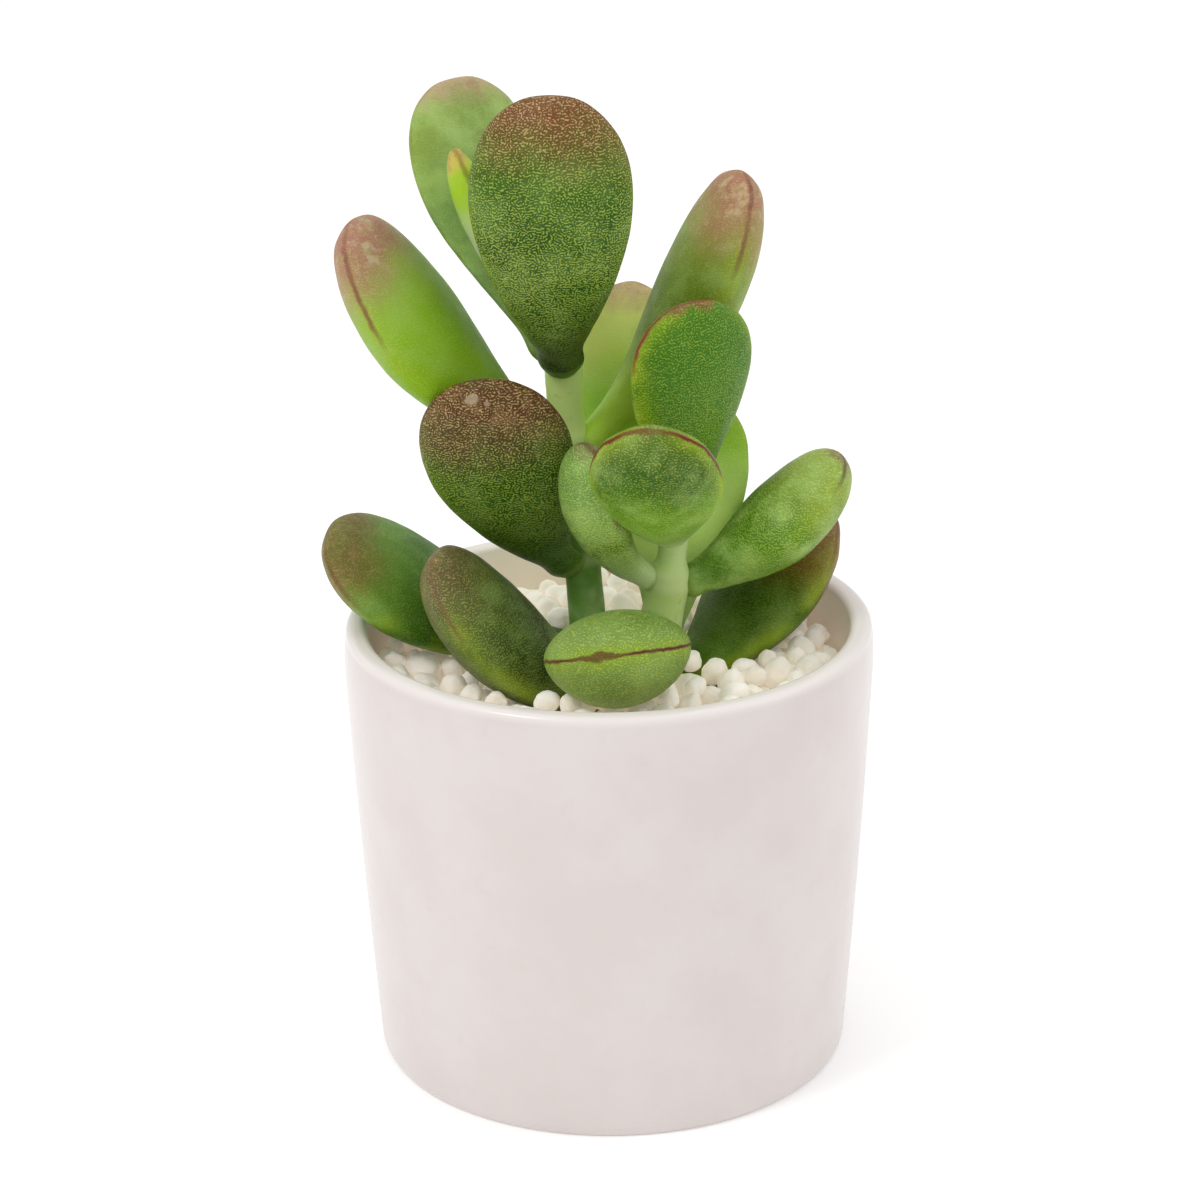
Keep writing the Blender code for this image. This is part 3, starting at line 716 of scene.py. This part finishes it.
def settled_granules(random, obstacles):
    """(centre, radius) of granules that rest on the bed, the wall or each other, clear of what grows."""
    low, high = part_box("white_gravel")
    wall = high.x
    edge_top = high.z - GRAVEL_CROWN_MM * MM
    bed = edge_top - GRANULE_BED_MM * MM
    centres, radii = np.zeros((0, 3)), np.zeros(0)
    misses = 0
    while misses < GRANULE_MISSES:
        size = random.uniform(*GRANULE_RADII_MM) * MM
        ways = random.uniform(0, 2 * math.pi, GRANULE_TRIES)
        distances = (wall - size) * np.sqrt(random.uniform(0, 1, GRANULE_TRIES))
        x, y = distances * np.cos(ways), distances * np.sin(ways)
        z = np.full(GRANULE_TRIES, bed + size)
        if len(radii):
            touch = (radii + size) * OVERLAP
            gaps = (x[:, None] - centres[:, 0]) ** 2 + (y[:, None] - centres[:, 1]) ** 2
            heights = centres[:, 2] + np.sqrt(np.maximum(touch ** 2 - gaps, 0))
            z = np.maximum(z, np.where(gaps < touch ** 2, heights, bed).max(1))
        limit = edge_top + HEAP_MM[1] * MM * (1 - (distances / wall) ** 2) + HEAP_MM[0] * MM
        placed = False
        for i in np.argsort(z):
            if z[i] + size > limit[i]:
                continue
            centre = Vector((x[i], y[i], z[i]))
            place, normal, _, distance = obstacles.find_nearest(centre)
            if distance > size * CLEARANCE and (centre - place).dot(normal) > 0:
                centres = np.vstack((centres, centre))
                radii = np.append(radii, size)
                placed = True
                break
        misses = 0 if placed else misses + 1
    return centres, radii


def granule_material():
    w = Wiring("white_granule")
    place = w.place()
    tone = w.attribute("tone")
    clouds = w.noise(place, 1.8, detail=4.0, roughness=0.6)
    grit = w.noise(place, 0.35, detail=3.0, roughness=0.65)
    colour = w.mix(tone, screen(243, 237, 226), screen(253, 250, 245))
    colour = w.mix(w.step(clouds, 0.5, 0.78, 0.0, 0.35), colour, screen(214, 202, 182))
    height = w.math('ADD', w.times(clouds, 0.6), w.times(grit, 0.4))
    w.set(base_color=colour, roughness=w.step(grit, 0.2, 0.8, 0.55, 0.8), normal=w.bump(height, 0.5, 0.25))
    # The emission is a painted glow: the granules give off a little light though they are no lamp.
    w.set(subsurface_weight=0.15, subsurface_radius=(1.0, 0.85, 0.65), subsurface_scale=0.0015,
          specular_ior_level=0.35, emission_color=screen(236, 220, 196), emission_strength=0.12)
    return w.material


def granule_pieces(obstacles):
    random = np.random.RandomState(GRANULE_SEED)
    fine, fine_faces = granule_shapes(np.random.RandomState(GRANULE_SEED), 4)
    coarse, coarse_faces = granule_shapes(np.random.RandomState(GRANULE_SEED), 3)
    centres, radii = settled_granules(random, obstacles)
    material = granule_material()
    shown_below = centres[:, 2].max() - FINE_BELOW_TOP_MM * MM
    order = np.argsort(centres[:, 1])
    for number, start in enumerate(range(0, len(order), GRANULES_PER_PIECE)):
        points, faces, tones, total = [], [], [], 0
        for i in order[start:start + GRANULES_PER_PIECE]:
            shown = centres[i][2] > shown_below
            shapes, ball_faces = (fine, fine_faces) if shown else (coarse, coarse_faces)
            shape = shapes[random.randint(GRANULE_KINDS)]
            turn = np.array(Euler(random.uniform(0, 2 * math.pi, 3)).to_matrix())
            points.append(shape @ turn.T * radii[i] + centres[i])
            faces.append(ball_faces + total)
            tones.append(np.full(len(shape), random.uniform(0, 1)))
            total += len(shape)
        faces = [tuple(face) for face in np.concatenate(faces).tolist()]
        new_piece(f"granules_{number + 1}", np.concatenate(points), faces, material, "white_gravel",
                  {"tone": np.concatenate(tones)})


# ---- soil ----

def dress_soil():
    w = Wiring("potting_mix_crumbs")
    place = w.place()
    crumbs = w.noise(place, 1.6, detail=5.0, roughness=0.7)
    fibres = w.noise(place, 4.0, detail=4.0, roughness=0.7, distortion=1.5)
    colour = w.mix(w.step(crumbs, 0.3, 0.7), screen(46, 34, 26), screen(86, 66, 50))
    colour = w.mix(w.step(fibres, 0.62, 0.72, 0.0, 0.6), colour, screen(128, 100, 72))
    w.set(base_color=colour, roughness=0.95, normal=w.bump(crumbs, 0.9, 0.8))
    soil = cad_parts["soil"]
    soil.data.materials.clear()
    soil.data.materials.append(w.material)


# ---- stage, light and camera ----

def add_stage():
    cage = bmesh.new()
    bmesh.ops.create_grid(cage, x_segments=FLOOR_CELLS, y_segments=FLOOR_CELLS, size=FLOOR_REACH)
    mesh = bpy.data.meshes.new("floor")
    cage.to_mesh(mesh)
    cage.free()
    w = Wiring("floor_white")
    w.set(base_color=(0.9, 0.9, 0.9, 1.0), roughness=0.9, specular_ior_level=0.0,
          emission_color=(1.0, 1.0, 1.0, 1.0), emission_strength=FLOOR_GLOW)
    mesh.materials.append(w.material)
    floor = bpy.data.objects.new("floor", mesh)
    floor.location.z = cad_box[0].z
    bpy.context.scene.collection.objects.link(floor)


def add_softbox(name, place, size, power):
    data = bpy.data.lights.new(name, 'AREA')
    data.shape = 'RECTANGLE'
    data.size, data.size_y = size
    data.energy = power
    lamp = bpy.data.objects.new(name, data)
    lamp.location = place
    lamp.rotation_euler = (Vector(LIT_POINT) - Vector(place)).to_track_quat('-Z', 'Y').to_euler()
    bpy.context.scene.collection.objects.link(lamp)


def add_light():
    world = bpy.data.worlds.new("studio")
    world.use_nodes = True
    background = world.node_tree.nodes["Background"]
    background.inputs["Color"].default_value = (1.0, 1.0, 1.0, 1.0)
    background.inputs["Strength"].default_value = SKY_STRENGTH
    bpy.context.scene.world = world
    for softbox in SOFTBOXES:
        add_softbox(*softbox)


def add_camera():
    data = bpy.data.cameras.new("camera")
    data.lens = LENS_MM
    data.sensor_width = SENSOR_MM
    data.clip_start = 0.01
    camera = bpy.data.objects.new("camera", data)
    turn = Matrix.Rotation(math.radians(CAMERA_TURN), 4, 'Z')
    tilt = Matrix.Rotation(math.radians(90 - CAMERA_TILT), 4, 'X')
    roll = Matrix.Rotation(math.radians(CAMERA_ROLL), 4, 'Z')
    camera.matrix_world = Matrix.Translation(CAMERA_PLACE) @ turn @ tilt @ roll
    bpy.context.scene.collection.objects.link(camera)
    bpy.context.scene.camera = camera


# ---- the whole picture ----

def surface_of(pieces):
    """One search tree over the surfaces of several pieces."""
    points, faces = [], []
    for piece in pieces:
        start = len(points)
        points += [vertex.co.copy() for vertex in piece.data.vertices]
        faces += [[start + corner for corner in polygon.vertices] for polygon in piece.data.polygons]
    return BVHTree.FromPolygons(points, faces)


def build():
    add_camera()
    add_light()
    add_stage()
    pot_piece()
    dress_soil()
    grown = [leaf_piece(node, seed) for seed, node in enumerate(LEAF_NODES)]
    joints = {node: [] for node in STEM_LOOKS}
    for node in LEAF_NODES:
        rings, _ = leaf_rings(node)
        foot = rings[0].mean(0)
        nearest = min(STEM_LOOKS, key=lambda stem: np.linalg.norm(stem_rings(stem) - foot, axis=2).min())
        joints[nearest].append(foot - (rings[1] - rings[0]).mean(0) * JOINT_REACH)
    for seed, (node, colours) in enumerate(STEM_LOOKS.items()):
        material = stem_material(node + "_skin", *colours)
        grown.append(stem_piece(node, joints[node], material, FIRST_STEM_SEED + seed))
    granule_pieces(surface_of(grown))
    bpy.context.scene.view_settings.view_transform = 'Standard'


build()
